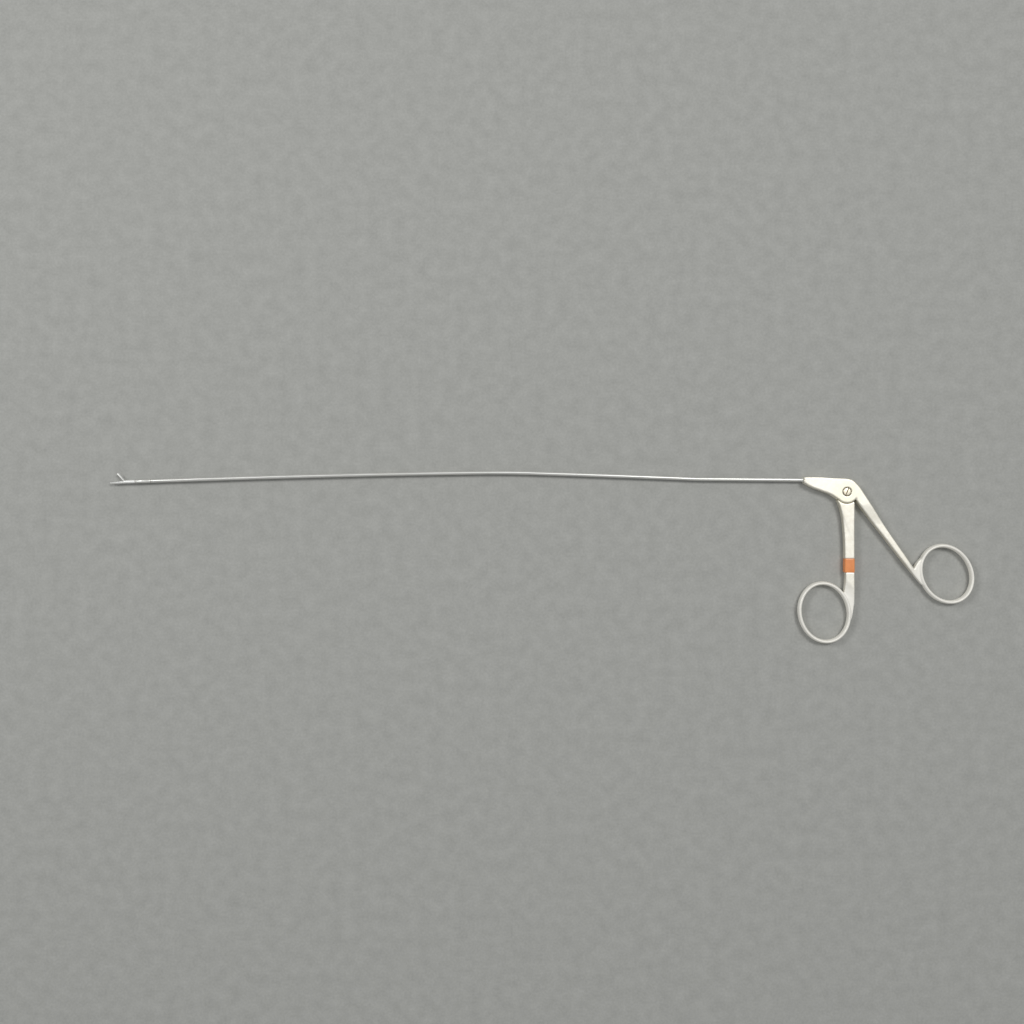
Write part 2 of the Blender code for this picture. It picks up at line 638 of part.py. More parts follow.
def distal_housing():
    """The end piece that holds the jaw pivot, with the fixed lower jaw."""
    radius, top = DISTAL_DIAMETER / 2, HOUSING_REACH + SOCKET_DEPTH
    spigot = SOCKET_DIAMETER / 2 - FIXED_GAP
    body = turned("distal_housing", [(0, top), (spigot, top), (spigot, HOUSING_REACH),
                                     (radius, HOUSING_REACH), *rounded_tip(radius, JAW_REACH)],
                  tip, (0, 0, 0), ALONG, 24)
    edge = teeth(-BITE_GAP / 2, JAW_REACH - JAW_ROUND, -TOOTH_DEPTH)
    level, high, far = edge[0].y, DISTAL_DIAMETER, -2 * JAW_REACH
    gap = jaw_side("mouth", [Vector((JAW_SHOULDER, high)), Vector((JAW_SHOULDER, level)), *edge,
                             Vector((far, edge[-1].y)), Vector((far, high))], tip)
    slot = box("jaw slot", (-JAW_HUB - FIXED_GAP - JAW_HUB, -DISTAL_DIAMETER, -JAW_SLOT / 2),
               (BLADE_LENGTH + RUNNING_GAP, DISTAL_DIAMETER, JAW_SLOT / 2), tip)
    bore_end = CRANK_SIDE + BLADE_LENGTH - 2 * CRANK_SIDE - 2 * RUNNING_GAP
    bore = turned("housing bore", along(TUBE_BORE / 2, FAR, bore_end), tip, (0, 0, 0), ALONG)
    hole = pin("pivot bore", JAW_PIN / 2 + FINE_GAP, -DISTAL_DIAMETER, DISTAL_DIAMETER, tip,
               (0, -JAW_PIVOT_DROP))
    cut(body, gap, slot, bore, hole)
    finish(body, BRIGHT_STEEL)
    reach = math.sqrt(radius ** 2 - (JAW_PIVOT_DROP + JAW_PIN / 2) ** 2)
    finish(pin("jaw_pivot_pin", JAW_PIN / 2, -reach, reach, tip, (0, -JAW_PIVOT_DROP)),
           SCREW_STEEL)


def moving_jaw():
    """The hinged upper jaw, shaped closed in the frame of its axis and held open by it."""
    radius, high = DISTAL_DIAMETER / 2, JAW_PIVOT_DROP + DISTAL_DIAMETER / 2
    edge = teeth(JAW_PIVOT_DROP + BITE_GAP / 2, MOVING_JAW_REACH - JAW_ROUND, TOOTH_DEPTH)
    rear, level = -JAW_HEEL, edge[0].y
    crown = Vector((-JAW_CROWN, high))
    jaw = turned("moving_jaw", [(0, 0), (radius, 0), *rounded_tip(radius, MOVING_JAW_REACH)],
                 jaw_axis, (0, JAW_PIVOT_DROP, 0), ALONG, 24)
    far = -2 * MOVING_JAW_REACH
    side = jaw_side("jaw side", [
        Vector((rear, level)), crown, crown + Vector((-radius, DISTAL_DIAMETER)),
        Vector((far, high + DISTAL_DIAMETER)),
        Vector((far, edge[-1].y)), *reversed(edge)], jaw_axis)
    crank = Vector((-CRANK_SIDE, CRANK_RISE))
    slot_middle = -(FINE_GAP + JAW_TONGUE / 2)
    tongue = plate("jaw tongue", [*arc((0, 0), JAW_HUB, 180, 375, 8),
                                  *arc(crank, LINK_EYE, 10, 110, 5),
                                  Vector((-JAW_ROOT, high - TOOTH_DEPTH)),
                                  Vector((-JAW_ROOT, level + TOOTH_DEPTH)),
                                  Vector((rear, level))], JAW_TONGUE, parent=jaw_axis,
                   middle=slot_middle)
    boolean(jaw, side, "INTERSECT")
    join(jaw, tongue)
    through = DISTAL_DIAMETER
    pocket = box("blade pocket", (-JAW_POCKET, level - JAW_POCKET, 0),
                 (JAW_POCKET, 2 * JAW_POCKET, JAW_SLOT / 2 + FINE_GAP), jaw_axis)
    cut(jaw, pocket, pin("jaw hub hole", JAW_PIN / 2 + FINE_GAP, -through, through, jaw_axis),
        pin("link pin hole", LINK_PIN / 2 + FINE_GAP / 2, -through, through, jaw_axis, crank))
    finish(jaw, BRIGHT_STEEL)
    reach = JAW_SLOT / 2 - FIXED_GAP
    finish(pin("jaw_link_pin", LINK_PIN / 2, -reach, reach, jaw_axis, crank), SCREW_STEEL)


def rod():
    """The rod in the tube, with its barrel in the lever's fork and its blade in the jaws."""
    blade_end = CRANK_SIDE + BLADE_LENGTH
    socket_floor = blade_end + BLADE_SOCKET
    trunnion = TRUNNION_DIAMETER / 2
    finish(wire("drive_rod", shaft_run(-NOSE_REACH - trunnion / 3,
                                       STATION - socket_floor - RUNNING_GAP),
                ROD_DIAMETER / 2), BRIGHT_STEEL)
    barrel = pin("rod_trunnion", trunnion, MIDDLE - SLOT_WIDTH / 2 + RUNNING_GAP,
                 MIDDLE + SLOT_WIDTH / 2 - RUNNING_GAP, place=(0, ROD_HEIGHT), sides=24)
    hole = ROD_DIAMETER / 2 + FIXED_GAP
    cut(barrel, turned("trunnion bore", along(hole, NOSE_REACH + trunnion / 2, -FAR),
                       nose, (0, 0, 0), ALONG))
    finish(barrel, SCREW_STEEL)
    front = TUBE_SEAT + STIFFENER_GAP
    rear = front + STIFFENER_LENGTH
    finish(turned("rod_stiffener", [(STIFFENER_DIAMETER / 2, rear), (STIFFENER_DIAMETER / 2, front),
                                    (hole, front), (hole, rear)],
                  nose, (0, 0, 0), ALONG), BRIGHT_STEEL)
    head = BLADE_HEAD / 2
    tall = LINK_PIN / 2 + FINE_GAP
    blade = plate("drive_blade", [
        Vector((socket_floor - BLADE_ROOT, -BLADE_TAIL / 2)),
        Vector((socket_floor - BLADE_ROOT, BLADE_TAIL / 2)),
        Vector((CRANK_SIDE + 2 * head, BLADE_TAIL / 2)),
        *arc((CRANK_SIDE, PIN_TOP), head, 0, 180, 8),
        Vector((CRANK_SIDE - head, -BLADE_TAIL / 2))], BLADE_THICKNESS,
        holes=([*arc((CRANK_SIDE, PIN_TOP + FINE_GAP), tall, 0, 180, 6),
                *arc((CRANK_SIDE, PIN_HEIGHT - FINE_GAP), tall, 180, 360, 6)],),
        parent=tip, middle=FINE_GAP + BLADE_THICKNESS / 2)
    socket = turned("blade socket", along(BLADE_SOCKET / 2, blade_end + BLADE_SOCKET_LENGTH,
                                          blade_end), tip, (0, 0, 0), ALONG)
    join(blade, socket)
    cut(blade, turned("socket bore", along(hole, FAR, socket_floor), tip, (0, 0, 0), ALONG))
    finish(blade, BRIGHT_STEEL)


handle_body()
ferrule()
pivot_screw()
front_lever()
finish(band_frame("colour_band", BAND_WALL, FIXED_GAP, BAND_LENGTH), ORANGE)
shaft_tube()
coupling_sleeve()
distal_housing()
moving_jaw()
rod()
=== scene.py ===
"""Looks of the grasping forceps: satin handles, a bright drawn shaft, small toothed jaws."""

import json
import math

import bmesh
import bpy
from mathutils import Matrix, Vector


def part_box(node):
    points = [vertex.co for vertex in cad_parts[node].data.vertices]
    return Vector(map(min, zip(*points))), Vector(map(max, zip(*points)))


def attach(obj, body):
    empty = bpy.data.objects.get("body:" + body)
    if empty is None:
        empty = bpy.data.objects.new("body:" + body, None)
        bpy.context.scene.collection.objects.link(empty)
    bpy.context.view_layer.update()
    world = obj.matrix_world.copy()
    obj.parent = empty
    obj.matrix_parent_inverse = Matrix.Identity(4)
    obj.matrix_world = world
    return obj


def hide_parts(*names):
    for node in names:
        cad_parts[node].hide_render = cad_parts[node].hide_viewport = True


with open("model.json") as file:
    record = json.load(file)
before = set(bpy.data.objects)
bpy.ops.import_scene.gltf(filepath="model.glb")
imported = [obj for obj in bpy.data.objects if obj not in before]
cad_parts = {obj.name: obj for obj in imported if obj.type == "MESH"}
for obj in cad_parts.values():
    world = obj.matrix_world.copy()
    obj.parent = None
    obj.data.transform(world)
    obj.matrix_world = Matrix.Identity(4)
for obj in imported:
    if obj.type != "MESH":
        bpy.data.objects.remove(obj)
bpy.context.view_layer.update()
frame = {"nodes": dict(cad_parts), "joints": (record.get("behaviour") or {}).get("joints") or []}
MM = 0.001


# Camera and light
# The photograph looks straight down, from over the middle of the long shaft, and its main
# light comes from the upper right, so the shadows fall to the left of the rings and below them.
VIEW_WIDTH = 0.5023  # width of the picture at the height of the forceps
VIEW_CENTRE = Vector((-0.16375, -0.0099))
CAMERA_HEIGHT = 0.56
SHAFT_LEVEL = 2.5 * MM  # the shaft's axis, and the middle of the forceps' thickness
scene = bpy.context.scene
camera = bpy.data.objects.new("camera", bpy.data.cameras.new("camera"))
scene.collection.objects.link(camera)
camera.location = (*VIEW_CENTRE, CAMERA_HEIGHT)
camera.data.lens = camera.data.sensor_width * (CAMERA_HEIGHT - SHAFT_LEVEL) / VIEW_WIDTH
scene.camera = camera
scene.view_settings.view_transform = "Standard"


def softbox(name, place, size, power, target=(-0.1, -0.01, 0)):
    """A rectangular lamp that faces its target."""
    data = bpy.data.lights.new(name, "AREA")
    data.shape = "RECTANGLE"
    data.size, data.size_y = size
    data.energy = power
    lamp = bpy.data.objects.new(name, data)
    scene.collection.objects.link(lamp)
    lamp.location = place
    lamp.rotation_euler = (Vector(target) - Vector(place)).to_track_quat("-Z", "Y").to_euler()


softbox("key softbox", (0.42, 0.56, 1.55), (0.45, 0.45), 11.0)
softbox("left softbox", (-0.95, 0.4, 0.95), (0.35, 0.35), 4.4, (-0.34, 0, 0))
softbox("overhead softbox", (-0.15, -0.12, 1.5), (1.9, 0.6), 0.6, (-0.15, -0.02, 0))
world = bpy.data.worlds.new("studio")
scene.world = world
world.use_nodes = True
room = world.node_tree.nodes["Background"].inputs
room["Color"].default_value = (0.97, 0.98, 1.0, 1.0)
room["Strength"].default_value = 0.32


# Mat
# The forceps lie on a grey woven instrument mat. It isn't a part of them, so it is only
# staged, just below their underside.
MAT_WIDTH = 3.0
MAT_DROP = 0.2 * MM
MAT_DARK, MAT_LIGHT = (0.33, 0.333, 0.312), (0.45, 0.453, 0.427)


def wired(tree, kind, values=None, **settings):
    """A new node in a tree, with its sockets set to values or linked to other sockets."""
    made = tree.nodes.new(kind)
    for key, value in settings.items():
        setattr(made, key, value)
    for socket, value in (values or {}).items():
        if isinstance(value, bpy.types.NodeSocket):
            tree.links.new(value, made.inputs[socket])
        else:
            made.inputs[socket].default_value = value
    return made


def on_piece(tree):
    """Places on the piece itself, so that a pattern moves along with it."""
    return wired(tree, "ShaderNodeTexCoord").outputs["Object"]


def worked(tree, operation, first, second):
    """The result of a sum on two values."""
    return wired(tree, "ShaderNodeMath", {0: first, 1: second},
                 operation=operation).outputs["Value"]


def blended(tree, mask, low, high):
    """A colour between two, by a mask that runs from 0 to 1."""
    low, high = (end if isinstance(end, bpy.types.NodeSocket) else (*end, 1.0)
                 for end in (low, high))
    return wired(tree, "ShaderNodeMix", {0: mask, 6: low, 7: high}, data_type="RGBA").outputs[2]


def stretched(tree, mask, low, high, start=0.0, end=1.0):
    """A mask brought from one range of values to another."""
    return wired(tree, "ShaderNodeMapRange", {
        "Value": mask, "From Min": start, "From Max": end, "To Min": low,
        "To Max": high}).outputs["Result"]


def surface(name, roughness, **sockets):
    """A new material with the plain values of its shader set."""
    look = bpy.data.materials.new(name)
    look.use_nodes = True
    shader = look.node_tree.nodes["Principled BSDF"]
    shader.inputs["Roughness"].default_value = roughness
    for socket, value in sockets.items():
        shader.inputs[socket.replace("_", " ")].default_value = value
    return look, look.node_tree, shader


mat_look, tree, shader = surface("grey mat", 0.9)
place = on_piece(tree)
grain = wired(tree, "ShaderNodeTexNoise", {"Vector": place, "Scale": 900.0, "Detail": 4.0})
weave = wired(tree, "ShaderNodeTexNoise", {"Vector": place, "Scale": 160.0, "Detail": 3.0})
fibres = worked(tree, "ADD", grain.outputs["Fac"], weave.outputs["Fac"])
tree.links.new(blended(tree, stretched(tree, fibres, 0.0, 1.0, 0.5, 1.5), MAT_DARK, MAT_LIGHT),
               shader.inputs["Base Color"])
bpy.ops.mesh.primitive_plane_add(size=MAT_WIDTH, location=(-0.16, 0, -MAT_DROP))
mat = bpy.context.object
mat.name = "mat"
mat.data.materials.append(mat_look)


# Handle: housing, rear arm and thumb ring
# One stainless forging, milled for the lever, ground along its faces, and bead-blasted to
# an even ivory satin. The edges are broken by hand and shine a little where hands rub them.
FORGING_GRAIN = 0.22 * MM  # fineness of the softened mesh
FORGING_ROUNDS = 6  # rounds of softening
REAR_RING = (49.1 * MM, -40.25 * MM)
FRONT_RING = (-10.65 * MM, -59.1 * MM)
RING_SHEEN_REACH = 21 * MM  # reach from a ring's centre of its painted sheen, to where its arm turns matt
PIVOT_STAIN = 10 * MM  # reach of the oil round the pivot
PLACE_FADE = 8 * MM
RING_METALLIC, STAIN_METALLIC = 0.15, 0.8
IVORY_BRIGHT, IVORY_DULL = (0.94, 0.915, 0.82), (0.84, 0.80, 0.69)
# painted sheen: the rings' whiter colour, which with a low metallic value makes them look lit
# all round
RING_SHEEN_WHITE = (0.99, 0.965, 0.885)
OIL_TINT = (0.93, 0.86, 0.60)
# painted shade: the colour that concave creases darken towards
CREASE_SHADE = (0.45, 0.42, 0.35)


def effect(name, inputs, outputs):
    """An empty group of shader nodes with named sockets."""
    group = bpy.data.node_groups.new(name, "ShaderNodeTree")
    for label, start in inputs.items():
        socket = group.interface.new_socket(label, in_out="INPUT",
                                            socket_type="NodeSocketFloat")
        socket.default_value = start
    for label in outputs:
        group.interface.new_socket(label, in_out="OUTPUT", socket_type="NodeSocketFloat")
    return group, group.nodes.new("NodeGroupInput"), group.nodes.new("NodeGroupOutput")


BLASTED, given, result = effect("blasted grain", {"Grain": 6000.0, "Mottle": 450.0},
                                ("Grain", "Mottle"))
place = on_piece(BLASTED)
pits = wired(BLASTED, "ShaderNodeTexNoise", {
    "Vector": place, "Scale": given.outputs["Grain"], "Detail": 2.0, "Roughness": 0.6})
clouds = wired(BLASTED, "ShaderNodeTexNoise", {
    "Vector": place, "Scale": given.outputs["Mottle"], "Detail": 5.0, "Roughness": 0.65})
BLASTED.links.new(pits.outputs["Fac"], result.inputs["Grain"])
BLASTED.links.new(clouds.outputs["Fac"], result.inputs["Mottle"])

# Worn convex edges, and the concave creases that take painted shade.
EDGE_WEAR_AND_CREASE_SHADE, given, result = effect("edge wear and crease shade", {"Start": 0.52, "End": 0.6, "Patchiness": 300.0},
                               ("Edge", "Crease Shade"))
bend = wired(EDGE_WEAR_AND_CREASE_SHADE, "ShaderNodeNewGeometry").outputs["Pointiness"]
patches = wired(EDGE_WEAR_AND_CREASE_SHADE, "ShaderNodeTexNoise", {
    "Vector": on_piece(EDGE_WEAR_AND_CREASE_SHADE), "Scale": given.outputs["Patchiness"], "Detail": 3.0})
rub = wired(EDGE_WEAR_AND_CREASE_SHADE, "ShaderNodeMapRange", {
    "Value": bend, "From Min": given.outputs["Start"], "From Max": given.outputs["End"]})
patchy = stretched(EDGE_WEAR_AND_CREASE_SHADE, patches.outputs["Fac"], 0.45, 1.0, 0.35, 0.65)
worn = worked(EDGE_WEAR_AND_CREASE_SHADE, "MULTIPLY", rub.outputs["Result"], patchy)
EDGE_WEAR_AND_CREASE_SHADE.links.new(worn, result.inputs["Edge"])
EDGE_WEAR_AND_CREASE_SHADE.links.new(stretched(EDGE_WEAR_AND_CREASE_SHADE, bend, 1.0, 0.0, 0.4, 0.49), result.inputs["Crease Shade"])


def shaped(name, shape):
    """The piece whose faces a shape holds."""
    bmesh.ops.recalc_face_normals(shape, faces=shape.faces)
    mesh = bpy.data.meshes.new(name)
    shape.to_mesh(mesh)
    shape.free()
    mesh.shade_smooth()
    piece = bpy.data.objects.new(name, mesh)
    scene.collection.objects.link(piece)
    return piece


def softened(name, node, grain, rounds):
    """A solid with its edges broken and its corners blended, as blasting and polishing do."""
    shape = bmesh.new()
    shape.from_mesh(frame["nodes"][node].data)
    bmesh.ops.remove_doubles(shape, verts=shape.verts, dist=0.001 * MM)
    piece = shaped(name, shape)
    skin = piece.modifiers.new("skin", "REMESH")
    skin.mode = "VOXEL"
    skin.voxel_size = grain
    soften = piece.modifiers.new("soften", "SMOOTH")
    soften.factor = 0.5
    soften.iterations = rounds
    return settled(piece)


def settled(piece):
    """The piece with its modifiers applied."""
    graph = bpy.context.evaluated_depsgraph_get()
    mesh = bpy.data.meshes.new_from_object(piece.evaluated_get(graph))
    piece.modifiers.clear()
    piece.data = mesh
    mesh.shade_smooth()
    return piece


def fitted(piece, look, body, node):
    """Gives the piece its finish, and sets it on its body in place of a node."""
    piece.data.materials.clear()
    piece.data.materials.append(look)
    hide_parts(node)
    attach(piece, body)


# A round patch that fades out from a centre: the rings' painted sheen, and the oil stain round
# the pivot.
SHEEN_AND_STAIN_PLACE, given, result = effect(
    "sheen and stain place", {"X": 0.0, "Y": 0.0, "Reach": RING_SHEEN_REACH, "Fade": PLACE_FADE},
    ("Place",))
apart = wired(SHEEN_AND_STAIN_PLACE, "ShaderNodeSeparateXYZ", {"Vector": on_piece(SHEEN_AND_STAIN_PLACE)})
off = wired(SHEEN_AND_STAIN_PLACE, "ShaderNodeCombineXYZ", {
    side: worked(SHEEN_AND_STAIN_PLACE, "SUBTRACT", apart.outputs[side], given.outputs[side])
    for side in ("X", "Y")})
away = wired(SHEEN_AND_STAIN_PLACE, "ShaderNodeVectorMath", {0: off.outputs["Vector"]}, operation="LENGTH")
near = wired(SHEEN_AND_STAIN_PLACE, "ShaderNodeMapRange", {
    "Value": away.outputs["Value"], "From Min": given.outputs["Reach"],
    "From Max": worked(SHEEN_AND_STAIN_PLACE, "SUBTRACT", given.outputs["Reach"], given.outputs["Fade"])},
    interpolation_type="SMOOTHSTEP")
SHEEN_AND_STAIN_PLACE.links.new(near.outputs["Result"], result.inputs["Place"])


def embossed(tree, shader, height, strength, depth):
    """Gives a surface the fine relief of a pattern."""
    relief = wired(tree, "ShaderNodeBump", {"Height": height, "Strength": strength,
                                            "Distance": depth})
    tree.links.new(relief.outputs["Normal"], shader.inputs["Normal"])


def mixed(tree, mask, low, high):
    """A value between two, by a mask that runs from 0 to 1."""
    return wired(tree, "ShaderNodeMix", {0: mask, 2: low, 3: high},
                 data_type="FLOAT").outputs[0]


def blasted_steel(name, bright, dull, roughness, metallic=0.86, grit=6000.0, relief=0.4,
                  places=()):
    """Steel with a fine grain, soft mottling, worn edges, painted shade in its creases, and
    round places in other tints.
    """
    look, tree, shader = surface(name, roughness, Metallic=metallic)
    grain = wired(tree, "ShaderNodeGroup", {"Grain": grit}, node_tree=BLASTED)
    edge = wired(tree, "ShaderNodeGroup", node_tree=EDGE_WEAR_AND_CREASE_SHADE)
    tone = stretched(tree, grain.outputs["Mottle"], 0.0, 1.0, 0.3, 0.7)
    colour = blended(tree, worked(tree, "MAXIMUM", tone, edge.outputs["Edge"]), dull, bright)
    metal = metallic
    # each place tints a round patch: painted sheen on the rings, a real oil stain round the
    # pivot
    for x, y, reach, share, tint, shown in places:
        place = wired(tree, "ShaderNodeGroup", {"X": x, "Y": y, "Reach": reach,
                                                "Fade": PLACE_FADE}, node_tree=SHEEN_AND_STAIN_PLACE)
        part = stretched(tree, place.outputs["Place"], 0.0, share)
        colour = blended(tree, part, colour, tint)
        metal = mixed(tree, part, metal, shown)
    if places:
        tree.links.new(metal, shader.inputs["Metallic"])
    # painted shade: concave creases darken towards grey-brown
    tree.links.new(blended(tree, edge.outputs["Crease Shade"], colour, CREASE_SHADE),
                   shader.inputs["Base Color"])
    matt = stretched(tree, grain.outputs["Grain"], roughness - 0.1, roughness + 0.08, 0.3, 0.7)
    tree.links.new(mixed(tree, edge.outputs["Edge"], matt, roughness - 0.14),
                   shader.inputs["Roughness"])
    embossed(tree, shader, grain.outputs["Grain"], relief, 0.04 * MM)
    return look


# The rings carry a painted sheen: a whiter colour and a low metallic value that make them look
# lit all round.
SATIN = blasted_steel("ivory satin steel", IVORY_BRIGHT, IVORY_DULL, 0.48, places=(
    (*REAR_RING, RING_SHEEN_REACH, 1.0, RING_SHEEN_WHITE, RING_METALLIC),
    (*FRONT_RING, RING_SHEEN_REACH, 1.0, RING_SHEEN_WHITE, RING_METALLIC),
    (0.0, 0.0, PIVOT_STAIN, 0.35, OIL_TINT, STAIN_METALLIC)))
handle = softened("handle_forging", "handle_body", FORGING_GRAIN, FORGING_ROUNDS)
fitted(handle, SATIN, "handle", "handle_body")


# Front lever
# The second forging, with the finger ring. It turns between the housing's two cheeks on
# a thin tongue, and is blasted together with the handle, so the two match.
lever = softened("lever_forging", "front_lever", FORGING_GRAIN, FORGING_ROUNDS)
fitted(lever, SATIN, "lever", "front_lever")


# Pivot screw
# A turned steel screw with a straight driver slot holds the two handles together. Its head
# lies in a counterbore, flush with the housing, and the cutting tool left fine rings on it.
SCREW_HEAD = 1.95 * MM
SCREW_SHANK = 1.2 * MM
HEAD_DEPTH = 1.0 * MM
SHANK_CHAMFER = 0.12 * MM
SLOT_WIDTH = 0.5 * MM
SLOT_DEPTH = 0.5 * MM
SLOT_CUTTER = 6 * MM  # longer than the head is wide
SLOT_TURN = math.radians(-22)
SHARP_ANGLE = math.radians(35)
# painted shade in the driver slot
SLOT_SHADE = (0.22, 0.18, 0.12)
TURNED, given, result = effect("turned rings", {"Fineness": 7000.0}, ("Rings",))
apart = wired(TURNED, "ShaderNodeSeparateXYZ", {"Vector": on_piece(TURNED)})
flat = wired(TURNED, "ShaderNodeCombineXYZ", {"X": apart.outputs["X"], "Y": apart.outputs["Y"]})
reach = wired(TURNED, "ShaderNodeVectorMath", {0: flat.outputs["Vector"]}, operation="LENGTH")
count = worked(TURNED, "MULTIPLY", reach.outputs["Value"], given.outputs["Fineness"])
rings = wired(TURNED, "ShaderNodeTexNoise", {"W": count, "Scale": 1.0, "Detail": 1.0},
              noise_dimensions="1D")
TURNED.links.new(rings.outputs["Fac"], result.inputs["Rings"])


def skinned(shape, loops, closed):
    """Faces from each loop of points to the next, and from the last to the first if closed."""
    for low, high in zip(loops, [*loops[1:], loops[0]] if closed else loops[1:]):
        for i in range(len(low)):
            j = (i + 1) % len(low)
            shape.faces.new(tuple(dict.fromkeys((low[i], low[j], high[j], high[i]))))


def turned(name, rings, sides=48, closed=False):
    """A round piece from rings, each with its centre, direction and radius."""
    shape = bmesh.new()
    loops = []
    for centre, way, radius in rings:
        if radius == 0:
            loops.append([shape.verts.new(centre)] * sides)
            continue
        across = way.orthogonal() if abs(way.z) > 0.5 else way.cross(Vector((0, 0, 1)))
        across.normalize()
        up = across.cross(way).normalized()
        turns = [2 * math.pi * i / sides for i in range(sides)]
        loops.append([shape.verts.new(centre + radius * (across * math.cos(turn)
                                                         + up * math.sin(turn)))
                      for turn in turns])
    skinned(shape, loops, closed)
    piece = shaped(name, shape)
    piece.data.set_sharp_from_angle(angle=SHARP_ANGLE)
    return piece


def upright(profile, centre=Vector((0, 0, 0))):
    """Rings on an axis along Z, from (radius, height) pairs."""
    up = Vector((0, 0, 1))
    return [(centre + up * height, up, radius) for radius, height in profile]


screw_low, screw_high = (corner.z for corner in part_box("pivot_screw"))
under = screw_high - HEAD_DEPTH
crown = [(SCREW_HEAD - inward * MM, screw_high - drop * MM) for inward, drop in (
    (0.45, 0.03), (0.25, 0.06), (0.09, 0.13), (0, 0.26))]  # the head's rounded edge
screw = turned("pivot_screw_turned", upright([
    (0, screw_high - 0.04 * MM), *crown, (SCREW_HEAD, under), (SCREW_SHANK, under),
    (SCREW_SHANK, screw_low + SHANK_CHAMFER), (SCREW_SHANK - SHANK_CHAMFER, screw_low),
    (0, screw_low)]), sides=64)
bpy.ops.mesh.primitive_cube_add(size=1.0, location=(0, 0, screw_high))
driver = bpy.context.object
driver.data.transform(Matrix.Rotation(SLOT_TURN, 4, "Z")
                      @ Matrix.Diagonal((SLOT_WIDTH, SLOT_CUTTER, 2 * SLOT_DEPTH, 1)))
slotted = screw.modifiers.new("driver slot", "BOOLEAN")
slotted.object = driver
settled(screw)
bpy.data.objects.remove(driver)
screw.data.set_sharp_from_angle(angle=SHARP_ANGLE)
SCREW_STEEL, tree, shader = surface("turned screw steel", 0.36, Metallic=1.0)
rings = wired(tree, "ShaderNodeGroup", {"Fineness": 9000.0}, node_tree=TURNED)
height = wired(tree, "ShaderNodeSeparateXYZ", {"Vector": on_piece(tree)}).outputs["Z"]
slot_shade_mask = worked(  # painted shade down the slot, but not at the screw's other end
    tree, "MULTIPLY",
    stretched(tree, height, 1.0, 0.0, screw_high - 0.4 * MM, screw_high - 0.15 * MM),
    stretched(tree, height, 0.0, 1.0, under, under + 0.1 * MM))
face = blended(tree, rings.outputs["Rings"], (0.70, 0.63, 0.48), (0.92, 0.86, 0.70))
tree.links.new(blended(tree, slot_shade_mask, face, SLOT_SHADE), shader.inputs["Base Color"])
tree.links.new(stretched(tree, rings.outputs["Rings"], 0.28, 0.46), shader.inputs["Roughness"])
embossed(tree, shader, rings.outputs["Rings"], 0.35, 0.01 * MM)
fitted(screw, SCREW_STEEL, "handle", "pivot_screw")


# Colour band
# An orange enamelled sleeve shrunk round the lever's bar, which tells this model from others.
# Its face is slightly domed, and its two lips are rounded off towards the steel.
BAND_EDGE = 0.55 * MM  # corner radius of its section
BAND_WALL = 0.38 * MM
CORNER_SHARE = 0.6  # of the sinking, what the corners' radius gives up
CORNER_STEPS = 8
# From its middle to a lip: the share of the way there, and how deep the face has sunk
DOME = ((0.4, 0.005), (0.8, 0.03), (0.93, 0.08), (0.985, 0.22), (1.0, 0.45), (1.0, 0.9))
low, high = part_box("colour_band")
middle, reach = (low + high) / 2, (high - low) / 2
profile = [(-ahead, sink) for ahead, sink in reversed(DOME)]
profile += [(0.0, 0.0), *DOME, (0.0, 1.0)]
shape = bmesh.new()
loops = []
for ahead, sink in profile:
    flat = BAND_EDGE + sink * (1 - CORNER_SHARE) * BAND_WALL
    edge = BAND_EDGE - sink * CORNER_SHARE * BAND_WALL
    loop = []
    for x, z, start in ((1, 1, 0), (-1, 1, 90), (-1, -1, 180), (1, -1, 270)):
        for step in range(CORNER_STEPS + 1):
            turn = math.radians(start + 90 * step / CORNER_STEPS)
            loop.append(shape.verts.new(middle + Vector((
                x * (reach.x - flat) + edge * math.cos(turn), ahead * reach.y,
                z * (reach.z - flat) + edge * math.sin(turn)))))
    loops.append(loop)
skinned(shape, loops, closed=True)
band = shaped("orange_band", shape)
ENAMEL, tree, shader = surface("orange enamel", 0.42, Coat_Weight=0.35, Coat_Roughness=0.2)
grain = wired(tree, "ShaderNodeGroup", {"Grain": 3500.0, "Mottle": 380.0}, node_tree=BLASTED)
edge = wired(tree, "ShaderNodeGroup", {"Start": 0.53, "End": 0.62}, node_tree=EDGE_WEAR_AND_CREASE_SHADE)
fired = blended(tree, stretched(tree, grain.outputs["Mottle"], 0.0, 1.0, 0.3, 0.7),
                (0.80, 0.255, 0.065), (0.90, 0.33, 0.11))
tree.links.new(blended(tree, edge.outputs["Edge"], fired, (0.90, 0.45, 0.22)),
               shader.inputs["Base Color"])
tree.links.new(stretched(tree, grain.outputs["Grain"], 0.36, 0.5, 0.3, 0.7),
               shader.inputs["Roughness"])
embossed(tree, shader, grain.outputs["Mottle"], 0.15, 0.05 * MM)
fitted(band, ENAMEL, "lever", "colour_band")


# Long shaft
# A drawn stainless tube, polished along its length, so that fine lines run down it. It leaves
# the nose nearly straight, and has the slight bends that such a thin tube takes in use.
DRAWN, given, result = effect("drawn lines", {"Fineness": 5200.0, "Length": 30.0},
                              ("Lines", "Stain"))
place = on_piece(DRAWN)
apart = wired(DRAWN, "ShaderNodeSeparateXYZ", {"Vector": place})
drawn = wired(DRAWN, "ShaderNodeCombineXYZ", {
    side: worked(DRAWN, "MULTIPLY", apart.outputs[side], given.outputs[scale])
    for side, scale in (("X", "Length"), ("Y", "Fineness"), ("Z", "Fineness"))})
lines = wired(DRAWN, "ShaderNodeTexNoise", {"Vector": drawn.outputs["Vector"], "Scale": 1.0,
                                            "Detail": 2.0})
stain = wired(DRAWN, "ShaderNodeTexNoise", {"Vector": place, "Scale": 55.0, "Detail": 3.0})
DRAWN.links.new(lines.outputs["Fac"], result.inputs["Lines"])
